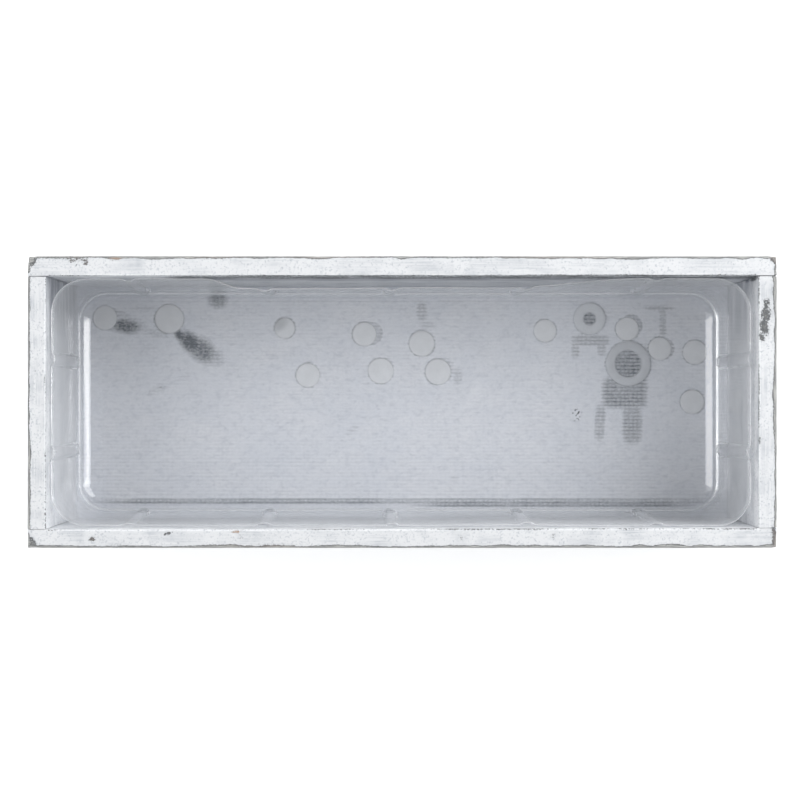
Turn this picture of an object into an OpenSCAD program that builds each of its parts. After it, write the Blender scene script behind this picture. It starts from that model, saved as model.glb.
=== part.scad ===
// Whitewashed planter box: four butt-jointed boards, a grooved-in hardboard floor panel
// and a clear thermoformed liner that lifts out. Millimetres, +Z up, +X along the length,
// +Y to the back. The origin is at the centre of the footprint, on the resting surface.

/* [Box] */
// Outside length of the box, along X
box_l = 400; // [320:10:600]
// Outside depth of the box, along Y
box_d = 156; // [130:2:220]
// Outside height of the box
box_h = 110; // [90:5:160]
// Thickness of the four wall boards
board_t = 10; // [9:0.5:14]

/* [Floor panel] */
// Thickness of the hardboard floor panel
panel_t = 3; // [2.5:0.1:4]
// Height of the panel's underside above the resting surface
panel_z = 5; // [4:0.5:12]
// Depth of the groove that holds the panel in each board
groove_depth = 4; // [3:0.5:5]
// Clearance around the panel's edges in the groove
groove_gap = 0.2; // [0.1:0.05:0.5]

/* [Discs and rings on the panel] */
// Thickness of the discs and rings under the liner
disc_t = 1; // [0.5:0.1:2]
// Outside radius of the small ring
small_ring_r = 9.2; // [8:0.1:10]
// Hole radius of the small ring
small_ring_hole_r = 3.7; // [3:0.1:5]
// Outside radius of the large ring
large_ring_r = 13; // [12:0.1:14]
// Hole radius of the large ring
large_ring_hole_r = 7.9; // [6:0.1:9]

/* [Liner] */
// Wall thickness of the liner
liner_t = 0.6; // [0.4:0.1:1]
// Height of the liner from its underside to its rim
liner_h = 90; // [60:5:100]
// Gap between the liner's rim and the boards
rim_gap = 1.5; // [1:0.1:3]
// Lean of the liner's walls from the vertical, in degrees
draft = 1.5; // [0:0.5:3]
// Radius of the liner's upright corners at its rim
rim_corner_r = 18; // [12:1:30]
// Radius of the fillet around the liner's base
base_fillet = 5; // [3:0.5:8]
// Width of the small ledge above the base fillet
ledge_w = 2; // [1:0.5:4]
// Height of the ledge above the liner's underside
ledge_z = 8; // [8:0.5:14]
// How far the rolled lip turns outward at the rim
lip_w = 0.5; // [0.3:0.1:0.7]
// Number of ribs on each long side
long_ribs = 5; // [1:2:5]
// Spacing of the ribs along a long side
long_rib_pitch = 71; // [40:1:75]
// Number of ribs on each short side
short_ribs = 2; // [1:1:2]
// Spacing of the ribs along a short side
short_rib_pitch = 50; // [30:1:60]
// Width of a rib where it meets the wall
rib_w = 8; // [5:1:12]
// How far a rib stands into the liner
rib_depth = 2.2; // [1:0.1:3]

/* [Brads] */
// Radius of a brad's shank
brad_r = 0.6; // [0.5:0.1:0.9]
// Radius of a brad's head
brad_head_r = 1; // [0.9:0.1:1.5]
// Length of a brad
brad_l = 25; // [20:1:30]
// Depth of a brad's head below the board's face
brad_set = 0.5; // [0.3:0.1:1]

/* [Hidden] */
$fn = 48;

inner_l = box_l - 2 * board_t;
inner_d = box_d - 2 * board_t;
panel_top = panel_z + panel_t;
// Clearance between the discs and the liner's underside.
liner_gap = 0.1;
liner_z = panel_top + disc_t + liner_gap;
// How far a cutting shape reaches past the face that it opens.
past = 1;

// Places and radii of the discs on the panel, as [x, y, radius].
DISCS = [[-173.5, 49, 7], [-136, 48.5, 8.5], [-68.5, 43, 6], [-22, 39.5, 7], [-55, 15.5, 7],
         [-12.5, 18, 7.5], [11.5, 34, 7.5], [21, 17.5, 7.5], [83.5, 41.5, 6.5], [131.5, 42.5, 6.8],
         [150.5, 31, 6.7], [171, 29, 7], [169.5, 0, 7]];
SMALL_RING_AT = [109.5, 48.5];
LARGE_RING_AT = [132, 22.3];

// Heights of the three brads at each corner, as parts of the box's height.
BRAD_HEIGHTS = [0.18, 0.5, 0.82];
// Clearance around a brad, and the thickness of its head.
brad_gap = 0.05;
head_t = 0.8;

// ---- Boards ----

// The slot that the panel's edges sit in, cut from all four boards at once.
module panel_groove() {
    reach = 2 * (groove_depth + groove_gap);
    translate([-(inner_l + reach) / 2, -(inner_d + reach) / 2, panel_z - groove_gap])
        cube([inner_l + reach, inner_d + reach, panel_t + 2 * groove_gap]);
}

// One brad along +Y from the face of the front board at y = 0, grown by a gap.
module brad(gap = 0) {
    rotate([-90, 0, 0]) {
        translate([0, 0, brad_set]) cylinder(r = brad_head_r + gap, h = head_t + gap);
        translate([0, 0, brad_set]) cylinder(r = brad_r + gap, h = brad_l + gap);
    }
}

// All twelve brads. The two long boards are mirror images.
module brads(gap = 0) {
    for (side = [0, 1]) mirror([0, side, 0])
        for (x = [-1, 1], part = BRAD_HEIGHTS)
            translate([x * (box_l - board_t) / 2, -box_d / 2, part * box_h]) brad(gap);
}

// The open dimples above the countersunk heads.
module brad_dimples() {
    for (side = [0, 1]) mirror([0, side, 0])
        for (x = [-1, 1], part = BRAD_HEIGHTS)
            translate([x * (box_l - board_t) / 2, -box_d / 2 - past, part * box_h])
                rotate([-90, 0, 0]) cylinder(r = brad_head_r + brad_gap, h = past + brad_set + brad_gap);
}

module long_board(side) {
    difference() {
        translate([-box_l / 2, side * (box_d - board_t) / 2 - board_t / 2, 0])
            cube([box_l, board_t, box_h]);
        panel_groove();
        brads(brad_gap);
        brad_dimples();
    }
}

module end_board(side) {
    difference() {
        translate([side * (box_l - board_t) / 2 - board_t / 2, -inner_d / 2, 0])
            cube([board_t, inner_d, box_h]);
        panel_groove();
        brads(brad_gap);
    }
}

module front_board() {
    color("whitesmoke") long_board(-1);
}

module back_board() {
    color("whitesmoke") long_board(1);
}

module left_end_board() {
    color("gainsboro") end_board(-1);
}

module right_end_board() {
    color("gainsboro") end_board(1);
}

module corner_brads() {
    color("dimgray") brads();
}

// ---- Floor ----

module floor_panel() {
    reach = 2 * groove_depth;
    color("lightsteelblue")
        translate([-(inner_l + reach) / 2, -(inner_d + reach) / 2, panel_z])
            cube([inner_l + reach, inner_d + reach, panel_t]);
}

module floor_discs() {
    color("silver")
        for (disc = DISCS)
            translate([disc.x, disc.y, panel_top]) cylinder(r = disc.z, h = disc_t);
}

module ring(at, r, hole_r) {
    color("silver")
        translate([at.x, at.y, panel_top])
            difference() {
                cylinder(r = r, h = disc_t);
                translate([0, 0, -past]) cylinder(r = hole_r, h = disc_t + 2 * past);
            }
}

module small_ring() {
    ring(SMALL_RING_AT, small_ring_r, small_ring_hole_r);
}

module large_ring() {
    ring(LARGE_RING_AT, large_ring_r, large_ring_hole_r);
}

// ---- Liner ----

// The liner is one shell. Rings of points run around it, from its floor out and up
// to the lip on the outside, then back down on the inside.
corner_steps = 6;
fillet_steps = 3;
// How much smaller the corner radius is for each millimetre of inset.
corner_taper = 0.6;
// Heights above the ledge where the ribs are half and fully deep.
rib_foot = 1.5;
rib_full = 5;
// The straighter band under the rim: its height, and how far it stands in from the rim's line.
rim_band_h = 8;
rim_band_inset = 0.6;
// Height of the rolled lip, and of the step down over the ledge's edge.
lip_h = 1.5;
ledge_step = 1;
ledge_edge = 0.5;

// Rib centres along one side, evenly spaced, as distances from the side's middle.
function rib_places(count, pitch) = [for (i = [0 : count - 1]) (i - (count - 1) / 2) * pitch];

// Points of one rib on a side that runs along +X, seen from inside.
function rib_points(at, depth) =
    [[at - rib_w / 2, 0], [at - rib_w / 4, depth], [at + rib_w / 4, depth], [at + rib_w / 2, 0]];

function side_points(count, pitch, depth) =
    [for (at = rib_places(count, pitch)) each rib_points(at, depth)];

function turned(p, a) = [p.x * cos(a) - p.y * sin(a), p.x * sin(a) + p.y * cos(a)];

// One quarter turn of a rounded corner, centred on c, starting at angle a.
function corner_points(c, r, a) =
    [for (i = [0 : corner_steps]) c + r * [cos(a + 90 * i / corner_steps), sin(a + 90 * i / corner_steps)]];

// One closed loop around the liner: half sizes hx and hy, corner radius r, rib depth d.
function loop_points(hx, hy, r, d) = concat(
    [for (p = side_points(long_ribs, long_rib_pitch, d)) [p.x, p.y - hy]],
    corner_points([hx - r, r - hy], r, -90),
    [for (p = side_points(short_ribs, short_rib_pitch, d)) turned([p.x, p.y - hx], 90)],
    corner_points([hx - r, hy - r], r, 0),
    [for (p = side_points(long_ribs, long_rib_pitch, d)) turned([p.x, p.y - hy], 180)],
    corner_points([r - hx, hy - r], r, 90),
    [for (p = side_points(short_ribs, short_rib_pitch, d)) turned([p.x, p.y - hx], 270)],
    corner_points([r - hx, r - hy], r, 180)
);

// The wall's profile as [inset from the rim's line, height above the underside, share of the
// rib depth]. The ribs start at the ledge and get shallower toward the rim.
wall_run = (liner_h - ledge_z) * tan(draft);
ledge_inset = wall_run + ledge_w;
PROFILE = concat(
    [for (i = [0 : fillet_steps])
        let (a = 90 * i / fillet_steps)
        [ledge_inset + base_fillet * (1 - sin(a)), base_fillet * (1 - cos(a)), 0]],
    [[ledge_inset, ledge_z - ledge_step, 0],
     [wall_run + ledge_edge, ledge_z, 0],
     [wall_run, ledge_z + rib_foot, 0.5],
     [wall_run * 0.95, ledge_z + rib_full, 1],
     [rim_band_inset, liner_h - rim_band_h, 0.7],
     [0, liner_h - lip_h, 0.4],
     [-lip_w, liner_h, 0.3]]
);
stations = len(PROFILE);

rim_hx = inner_l / 2 - rim_gap;
rim_hy = inner_d / 2 - rim_gap;

// One ring of the outside (wall = 0) or of the inside (wall = liner_t).
function ring_points(station, wall) =
    let (inset = station.x + wall,
         r = rim_corner_r - inset * corner_taper,
         z = station.y + (station.y < base_fillet ? wall : 0))
    [for (p = loop_points(rim_hx - inset, rim_hy - inset, r, station.z * rib_depth))
        [p.x, p.y, liner_z + z]];

module liner() {
    outside = [for (s = PROFILE) each ring_points(s, 0)];
    inside = [for (i = [stations - 1 : -1 : 0]) each ring_points(PROFILE[i], liner_t)];
    n = len(outside) / stations;
    rings = 2 * stations;
    walls = [for (k = [0 : rings - 2], i = [0 : n - 1])
        let (j = (i + 1) % n)
        [k * n + i, (k + 1) * n + i, (k + 1) * n + j, k * n + j]];
    // The underside and the floor are fans around a point at their middle.
    under_middle = rings * n;
    underside = [for (i = [0 : n - 1]) [under_middle, i, (i + 1) % n]];
    last = (rings - 1) * n;
    floor_top = [for (i = [0 : n - 1]) [under_middle + 1, last + (i + 1) % n, last + i]];
    color("lightblue", 0.5)
        polyhedron(
            points = concat(outside, inside, [[0, 0, liner_z], [0, 0, liner_z + liner_t]]),
            faces = concat(walls, underside, floor_top));
}

front_board();
back_board();
left_end_board();
right_end_board();
floor_panel();
floor_discs();
small_ring();
large_ring();
liner();
corner_brads();
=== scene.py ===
"""Looks of a whitewashed planter box with a clear lift-out liner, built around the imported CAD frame.

Shapes are worked out in millimetres and turned into metres when a mesh is made. Sizes and places come
from the CAD nodes' boxes. x runs along the length, y to the back, z up."""

import itertools
import math

import bpy
import numpy as np
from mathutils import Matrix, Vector


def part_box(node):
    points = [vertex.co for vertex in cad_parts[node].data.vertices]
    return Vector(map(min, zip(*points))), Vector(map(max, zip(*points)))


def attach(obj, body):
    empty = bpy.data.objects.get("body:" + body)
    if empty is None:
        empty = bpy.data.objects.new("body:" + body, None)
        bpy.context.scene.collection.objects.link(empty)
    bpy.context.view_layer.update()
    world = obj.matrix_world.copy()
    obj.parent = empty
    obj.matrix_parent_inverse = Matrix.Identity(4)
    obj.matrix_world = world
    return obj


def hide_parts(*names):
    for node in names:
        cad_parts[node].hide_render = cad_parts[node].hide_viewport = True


MM = 0.001
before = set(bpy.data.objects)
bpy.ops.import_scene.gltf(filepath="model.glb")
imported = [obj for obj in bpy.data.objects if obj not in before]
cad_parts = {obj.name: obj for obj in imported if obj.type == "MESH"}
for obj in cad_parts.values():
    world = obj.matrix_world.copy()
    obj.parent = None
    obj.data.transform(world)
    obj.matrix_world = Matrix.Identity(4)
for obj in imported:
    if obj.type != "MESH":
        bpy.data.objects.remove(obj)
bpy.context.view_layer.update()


def node_box(node):
    """A node's lowest and highest corners, in millimetres."""
    lo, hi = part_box(node)
    return np.array(lo) / MM, np.array(hi) / MM


FRONT, BACK, RIGHT = (node_box(node) for node in ("front_board", "back_board", "right_end_board"))
PANEL, LINER = node_box("floor_panel"), node_box("liner")
BOX_TOP = FRONT[1][2]
OUTER = np.array([FRONT[1][0], BACK[1][1]])
INNER = np.array([RIGHT[0][0], BACK[0][1]])
PANEL_TOP = PANEL[1][2]


# ---- Numbers ----


def smooth(x, low, high):
    """0 at low, 1 at high, with a soft start and end. low may be above high."""
    t = np.clip((x - low) / (high - low), 0, 1)
    return t * t * (3 - 2 * t)


def hashed(ix, iy, iz, seed):
    """A repeatable number from -1 to 1 for each lattice point."""
    h = (ix * 73856093) ^ (iy * 19349663) ^ (iz * 83492791) ^ (seed * 40503 + 977)
    h = (h & 0xFFFFFFFF) * 1274126177 & 0xFFFFFFFF
    h = (h ^ (h >> 15)) * 2246822519 & 0xFFFFFFFF
    return ((h ^ (h >> 13)) & 0xFFFF) / 32767.5 - 1


def noise(points, scale, seed=0):
    """Smooth noise from about -1 to 1. scale is its grain in millimetres, one number or one per axis."""
    q = points / np.asarray(scale, float)
    cell = np.floor(q).astype(np.int64)
    f = q - cell
    w = f * f * (3 - 2 * f)
    total = np.zeros(len(points))
    for corner in itertools.product((0, 1), repeat=3):
        share = np.prod([w[:, a] if c else 1 - w[:, a] for a, c in enumerate(corner)], axis=0)
        total += share * hashed(*(cell[:, a] + c for a, c in enumerate(corner)), seed)
    return total


def fractal(points, scale, octaves=3, seed=0):
    """Several layers of noise, each half the grain and half the height of the one before."""
    layers = [noise(points, np.asarray(scale, float) / 2**i, seed + i) / 2**i for i in range(octaves)]
    return sum(layers) / 1.5


# ---- Meshes ----


def make_mesh(name, points, faces, material, smooth_shading=True):
    """points in millimetres; faces as index lists of one length or of several."""
    mesh = bpy.data.meshes.new(name)
    mesh.from_pydata((np.asarray(points) * MM).tolist(), [], [list(map(int, f)) for f in faces])
    mesh.validate()
    mesh.shade_smooth() if smooth_shading else mesh.shade_flat()
    obj = bpy.data.objects.new(name, mesh)
    bpy.context.scene.collection.objects.link(obj)
    mesh.materials.append(material)
    return obj


def add_attribute(obj, name, values):
    """A number per point that a material reads."""
    attribute = obj.data.attributes.new(name, "FLOAT", "POINT")
    attribute.data.foreach_set("value", np.asarray(values, np.float32))


def apply_modifiers(obj):
    """Turns the shape that the modifiers make into the object's own mesh."""
    graph = bpy.context.evaluated_depsgraph_get()
    made = bpy.data.meshes.new_from_object(obj.evaluated_get(graph))
    obj.modifiers.clear()
    obj.data = made


def box_lattice(stops):
    """The skin of a box as points and quads. stops holds the grid places along x, y and z."""
    counts = [len(s) for s in stops]
    quads = []
    for axis in range(3):
        a, b = (axis + 1) % 3, (axis + 2) % 3
        i, j = np.meshgrid(np.arange(counts[a] - 1), np.arange(counts[b] - 1), indexing="ij")
        for end in (0, counts[axis] - 1):
            corners = []
            for di, dj in ((0, 0), (1, 0), (1, 1), (0, 1)):
                index = [None, None, None]
                index[axis] = np.full(i.shape, end)
                index[a], index[b] = i + di, j + dj
                corners.append((index[0] * counts[1] + index[1]) * counts[2] + index[2])
            if end == 0:
                corners.reverse()
            quads.append(np.stack(corners, axis=-1).reshape(-1, 4))
    quads = np.concatenate(quads)
    used, faces = np.unique(quads, return_inverse=True)
    ix, rest = np.divmod(used, counts[1] * counts[2])
    iy, iz = np.divmod(rest, counts[2])
    points = np.stack([np.asarray(s)[i] for s, i in zip(stops, (ix, iy, iz))], axis=-1)
    return points, faces.reshape(-1, 4)


def islands(node):
    """The separate solids of a CAD node, each as its corner points in millimetres."""
    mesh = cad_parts[node].data
    parent = list(range(len(mesh.vertices)))

    def root(i):
        while parent[i] != i:
            parent[i] = parent[parent[i]]
            i = parent[i]
        return i

    for edge in mesh.edges:
        a, b = (root(i) for i in edge.vertices)
        parent[a] = b
    points = np.array([v.co for v in mesh.vertices]) / MM
    places = {}
    for i, p in enumerate(np.round(points, 3).tolist()):
        places.setdefault(tuple(p), []).append(i)
    for same in places.values():
        for i in same[1:]:
            parent[root(i)] = root(same[0])
    groups = {}
    for i in range(len(points)):
        groups.setdefault(root(i), []).append(i)
    return [points[g] for g in groups.values()]


# ---- Materials ----


class Nodes:
    """A small helper that adds shader nodes and links them."""

    def __init__(self, name):
        self.material = bpy.data.materials.new(name)
        self.material.use_nodes = True
        self.tree = self.material.node_tree
        self.tree.nodes.clear()

    def add(self, kind, values=(), **settings):
        """values are (socket name or index, number, colour or another node's socket)."""
        node = self.tree.nodes.new(kind)
        for key, value in settings.items():
            setattr(node, key, value)
        for socket, value in values:
            if isinstance(value, bpy.types.NodeSocket):
                self.tree.links.new(value, node.inputs[socket])
            else:
                node.inputs[socket].default_value = value
        return node

    def math(self, operation, a, b):
        return self.add("ShaderNodeMath", [(0, a), (1, b)], operation=operation).outputs[0]

    def scaled(self, value, factor):
        return self.math("MULTIPLY", value, factor)

    def add_up(self, *terms):
        """The sum of (value, factor) terms."""
        total = self.scaled(*terms[0])
        for value, factor in terms[1:]:
            total = self.math("ADD", total, self.scaled(value, factor))
        return total

    def ramp(self, value, low, high):
        """0 at low, 1 at high, straight between."""
        values = [("Value", value), ("From Min", low), ("From Max", high)]
        return self.add("ShaderNodeMapRange", values).outputs[0]

    def place(self, scale):
        """Object coordinates in millimetres, divided by scale along x, y and z."""
        coordinates = self.add("ShaderNodeTexCoord").outputs["Object"]
        factors = [1 / (MM * s) for s in scale]
        return self.add("ShaderNodeMapping", [("Vector", coordinates), ("Scale", factors)]).outputs[0]

    def noise(self, scale, detail=3.0, roughness=0.55):
        """Noise whose grain is scale millimetres along x, y and z."""
        values = [("Vector", self.place(scale)), ("Scale", 1.0), ("Detail", detail), ("Roughness", roughness)]
        return self.add("ShaderNodeTexNoise", values).outputs["Fac"]

    def mix(self, factor, a, b):
        return self.add("ShaderNodeMix", [(0, factor), (6, a), (7, b)], data_type="RGBA").outputs[2]

    def attribute(self, name):
        return self.add("ShaderNodeAttribute", attribute_name=name).outputs["Fac"]

    def bump(self, height, distance_mm, strength=1.0):
        values = [("Height", height), ("Distance", distance_mm * MM), ("Strength", strength)]
        return self.add("ShaderNodeBump", values).outputs[0]

    def output(self, shader):
        self.add("ShaderNodeOutputMaterial", [("Surface", shader)])
        return self.material


def grey(value):
    return (value, value, value, 1)


PAINT = (0.765, 0.775, 0.79, 1)
# Whiter paint for the painted light on the inner faces near the top.
PAINT_LIT = (0.92, 0.93, 0.945, 1)
PAINT_THIN = (0.50, 0.525, 0.56, 1)
WEATHERED = (0.52, 0.52, 0.505, 1)
# Blue-grey that paints shade into the inner corners and below the back board's top edge.
SHADE_BLUE_GREY = (0.20, 0.215, 0.26, 1)
DARK_GRAIN = (0.10, 0.105, 0.11, 1)
TAN = (0.46, 0.28, 0.17, 1)
PANEL_PAINT = (0.835, 0.855, 0.90, 1)
PANEL_PAINT_FRESH = (0.91, 0.92, 0.95, 1)
PANEL_PAINT_THIN = (0.42, 0.45, 0.52, 1)
HARDBOARD = (0.065, 0.082, 0.105, 1)
# Grey for an unpainted patch on one disc, and for painted shade on the rings' sides.
STAIN_AND_SHADE_GREY = (0.22, 0.24, 0.26, 1)
BRIGHT_STEEL = (0.80, 0.81, 0.82, 1)
CLEAR_TINT = (0.980, 0.983, 0.989, 1)
HAZE_TINT = (0.94, 0.955, 0.975, 1)
SKY = (0.97, 0.985, 1.0, 1)


def whitewash(name, along):
    """White paint worn through to grey wood. along is the board's grain direction: 0 for x, 1 for y.
    The mesh's wear attribute says where it is worn: at 0.5 the dark edge of the paint shows, and past
    0.8 the pale, rubbed wood. Fine noise breaks up those edges. Two more attributes paint light and shade
    into the colour: one whitens the inner faces towards the top as painted light, the other darkens the
    inner corners near the back and a band below the back board's top edge as painted shade."""
    n = Nodes(name)

    def grained(length, width):
        return [length if axis == along else width for axis in range(3)]

    streaks = n.noise(grained(40, 1.1), 4.0, 0.6)
    fibres = n.noise(grained(9, 0.35), 3.0)
    flecks = n.noise((1.0, 1.0, 1.0), 4.0, 0.75)
    blotches = n.noise((16, 16, 16), 4.0, 0.6)
    wear = n.attribute("wear")
    ragged = n.add_up((flecks, 1.1), (streaks, 0.3))
    worn = n.math("ADD", wear, n.math("SUBTRACT", ragged, 0.7))
    wood = n.mix(n.ramp(worn, 0.58, 0.88), DARK_GRAIN, WEATHERED)
    wood = n.mix(n.scaled(n.ramp(fibres, 0.60, 0.45), 0.55), wood, DARK_GRAIN)
    wood = n.mix(n.scaled(n.attribute("brown"), 0.85), wood, TAN)
    thin = n.math("MULTIPLY", n.ramp(blotches, 0.44, 0.66), n.ramp(streaks, 0.36, 0.60))
    halo = n.scaled(n.ramp(worn, 0.08, 0.44), 0.42)
    specks = n.scaled(n.ramp(n.noise((1.2, 1.2, 1.2), 3.0, 0.6), 0.53, 0.68), 0.85)
    sides = n.math("ADD", 0.12, n.scaled(n.ramp(streaks, 0.42, 0.66), 0.5))
    sides = n.math("MULTIPLY", n.attribute("side"), sides)
    faded = n.math("MAXIMUM", n.scaled(thin, 0.9), n.math("MAXIMUM", halo, specks))
    faded = n.math("MAXIMUM", faded, sides)
    # Painted light: the inner faces get whiter towards the top.
    paint = n.mix(n.attribute("painted_light"), PAINT, PAINT_LIT)
    paint = n.mix(faded, paint, PAINT_THIN)
    # Painted shade, streaked along the grain, in the inner corners near the back and below the back board's
    # top.
    shaded = n.math("MULTIPLY", n.attribute("painted_shade"), n.math("ADD", 0.6, n.scaled(streaks, 0.7)))
    bared = n.ramp(worn, 0.42, 0.54)
    colour = n.mix(bared, n.mix(shaded, paint, SHADE_BLUE_GREY), wood)
    height = n.math("SUBTRACT", n.add_up((streaks, 0.6), (fibres, 0.25)), n.scaled(bared, 0.35))
    values = [
        ("Base Color", colour),
        ("Roughness", n.ramp(worn, -2.2, 1.6)),
        ("Specular IOR Level", 0.3),
        ("Normal", n.bump(height, 0.25, 0.6)),
    ]
    return n.output(n.add("ShaderNodeBsdfPrincipled", values).outputs[0])


def stage_white():
    """Bright matt white for the stage."""
    n = Nodes("stage_white")
    values = [
        ("Base Color", grey(0.95)),
        ("Roughness", 0.9),
        ("Emission Color", grey(1.0)),
        ("Emission Strength", 0.35),
    ]
    return n.output(n.add("ShaderNodeBsdfPrincipled", values).outputs[0])


LONG_WASH = whitewash("whitewash_long", 0)
END_WASH = whitewash("whitewash_end", 1)


# ---- Boards ----

# Grid places in from each edge of a board, the step between the others along x and y, and the one up
# its tall faces, which are finer near the top.
ARRIS_STOPS = [0, 0.25, 0.5, 0.8, 1.2, 1.7, 2.4, 3.2]
BOARD_STEP = 1.15
TALL_STEP, FINE_REACH, FINE_COUNT = 2.2, 24, 20
# The arrises' usual radius and its limits, and how far past a butt joint a board's outline is taken to
# run, so that no arris is worn there.
ARRIS_RADIUS, ARRIS_LEAST, ARRIS_MOST = 0.7, 0.3, 1.8
PAST_JOINT = 60


def stops_between(low, high, step):
    """Grid places from low to high: close together at both ends, then about step apart."""
    margin = ARRIS_STOPS[-1]
    count = max(2, round((high - low - 2 * margin) / step))
    middle = np.linspace(low + margin, high - margin, count + 1)[1:-1]
    ends = np.array(ARRIS_STOPS)
    return np.concatenate([low + ends, middle, high - ends[::-1]])


def upright_stops(low, high):
    """Grid places up a board: fine near the top, which is seen closest, and coarser below."""
    margin = ARRIS_STOPS[-1]
    count = round((high - FINE_REACH - low - margin) / TALL_STEP)
    coarse = np.linspace(low + margin, high - FINE_REACH, count + 1)[1:-1]
    top = np.linspace(high - FINE_REACH, high - margin, FINE_COUNT)[:-1]
    ends = np.array(ARRIS_STOPS)
    return np.concatenate([low + ends, coarse, top, high - ends[::-1]])


def rounded(points, lo, hi, radius):
    """Moves the points near a box's edges onto arrises of the given radius, one per point."""
    r = radius[:, None]
    core = np.clip(points, lo + r, hi - r)
    out = points - core
    length = np.linalg.norm(out, axis=1, keepdims=True)
    return np.where(length > 1e-9, core + r * out / np.maximum(length, 1e-9), points)


def edge_distance(points, lo, hi):
    """How far each point is from the nearest edge of its box, along the skin."""
    gaps = np.minimum(points - lo, hi - points)
    return np.sort(gaps, axis=1)[:, 1]


# Marks worn through the paint of the top edges, as [x, y, half length, half width, turn in degrees,
# how bare, how brown]. They are the marks that give this box its look.
WORN_MARKS = [
    [-173, 76.2, 7, 1.5, 4, 0.47, 0.1],
    [-169, 74.6, 1.9, 1.7, 0, 0.6, 0.1],
    [-177, 75.4, 1.6, 1.5, 0, 0.52, 0.1],
    [-173.6, 73.9, 0.7, 0.7, 0, 0.6, 0.0],
    [-153, 76.3, 3.2, 1.0, 0, 0.5, 0.6],
    [-100, 77, 16, 0.9, 0, 0.48, 0.1],
    [-40, 77.3, 22, 0.7, 0, 0.42, 0.1],
    [84, 77.2, 30, 0.7, 0, 0.4, 0.1],
    [-199.4, 77.2, 3.4, 4.6, 45, 1.0, 0.0],
    [199.4, 77.2, 3.0, 3.6, -45, 0.78, 0.1],
    [199.2, 70, 0.9, 4, 0, 0.8, 0.0],
    [-165.4, -73.3, 2.4, 1.7, 20, 0.58, 0.1],
    [-160, -74, 6, 2.6, 30, 0.3, 0.0],
    [-152, -76, 6, 1.6, 8, 0.36, 0.0],
    [-175, -72, 3, 1.1, 0, 0.3, 0.0],
    [-125.3, -70.4, 3.0, 1.0, 14, 0.6, 0.0],
    [-88.5, -69.4, 3.2, 1.2, 0, 0.55, 1.0],
    [-86.5, -71.6, 2.6, 1.2, -50, 0.45, 0.2],
    [-78, -73, 16, 3, 8, 0.28, 0.1],
    [-70, -76.6, 14, 1.2, 0, 0.46, 0.1],
    [31, -72.7, 4, 2.6, 30, 0.36, 0.1],
    [80.6, -72.2, 2.2, 2, 0, 0.42, 0.1],
    [-197.8, -75, 2.6, 5.4, 40, 0.62, 0.0],
    [198.6, -73, 1.8, 7, 6, 0.62, 0.1],
    [194.4, 52.8, 2.4, 3.6, 0, 0.60, 0.0],
    [194.0, 46.8, 3.4, 5.0, 0, 0.62, 0.0],
    [193.2, 39.8, 3.0, 5.6, 10, 0.64, 0.0],
    [191.8, 34.6, 1.8, 3.2, 25, 0.62, 0.0],
    [192.2, -38, 2.4, 10, 0, 0.3, 0.0],
    [190.6, -20.6, 0.8, 3, 0, 0.6, 0.0],
    [192.5, 24, 2, 0.7, 0, 0.36, 0.5],
    [-196.3, 17, 1.8, 4.4, 0, 0.32, 0.0],
    # These four: the dark line under the back board's inner top edge, partly worn paint, partly painted
    # shade.
    [-172, 67.9, 17, 0.55, 0, 0.5, 0.0],
    [-40, 67.9, 88, 0.6, 0, 0.52, 0.0],
    [120, 67.9, 72, 0.6, 0, 0.54, 0.0],
    [-104, 67.3, 4, 1.0, 0, 0.5, 0.0],
    [-190.6, 12, 0.7, 5, 0, 0.5, 0.0],
    [-190.4, -30, 0.6, 8, 0, 0.46, 0.0],
]

# How wide the worn band along each board's outer arris is, in millimetres.
OUTER_WEAR = {"front_board": 1.2, "back_board": 1.3, "left_end_board": 1.2, "right_end_board": 1.6}
# How worn the rubbed patches of the tall faces are, and the band of painted shade high up inside the
# back board, drawn as half-worn paint.
RUBBED_WEAR, SHADE_STRIP_WEAR = 0.42, 0.48
# How dark the painted shade is on the left, right and back inner faces.
LEFT_SHADE, RIGHT_SHADE, BACK_SHADE = 0.64, 0.6, 0.6


def turned(points, x, y, degrees):
    """Distances from (x, y) along and across a direction."""
    a = math.radians(degrees)
    dx, dy = points[:, 0] - x, points[:, 1] - y
    return dx * math.cos(a) + dy * math.sin(a), dy * math.cos(a) - dx * math.sin(a)


def ellipse(points, x, y, half_x, half_y, degrees, edge=0.7, power=2):
    """1 inside an ellipse, falling softly to 0 around its outline. A higher power squares it off."""
    along, across = turned(points, x, y, degrees)
    away = (abs(along / half_x) ** power + abs(across / half_y) ** power) ** (1 / power)
    return smooth(away, 1 + edge, 1 - edge)


def mark_wear(points):
    """How worn through and how brown the marks leave each point. Those along the back board's inner top
    edge also stand for painted shade.
    """
    bare_or_shaded, brown = np.zeros(len(points)), np.zeros(len(points))
    top = smooth(points[:, 2], BOX_TOP - 5, BOX_TOP - 1)
    for x, y, half_x, half_y, degrees, depth, tint in WORN_MARKS:
        share = ellipse(points, x, y, half_x, half_y, degrees) * top
        bare_or_shaded = np.maximum(bare_or_shaded, depth * share)
        brown = np.maximum(brown, tint * share)
    return bare_or_shaded, brown


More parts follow.
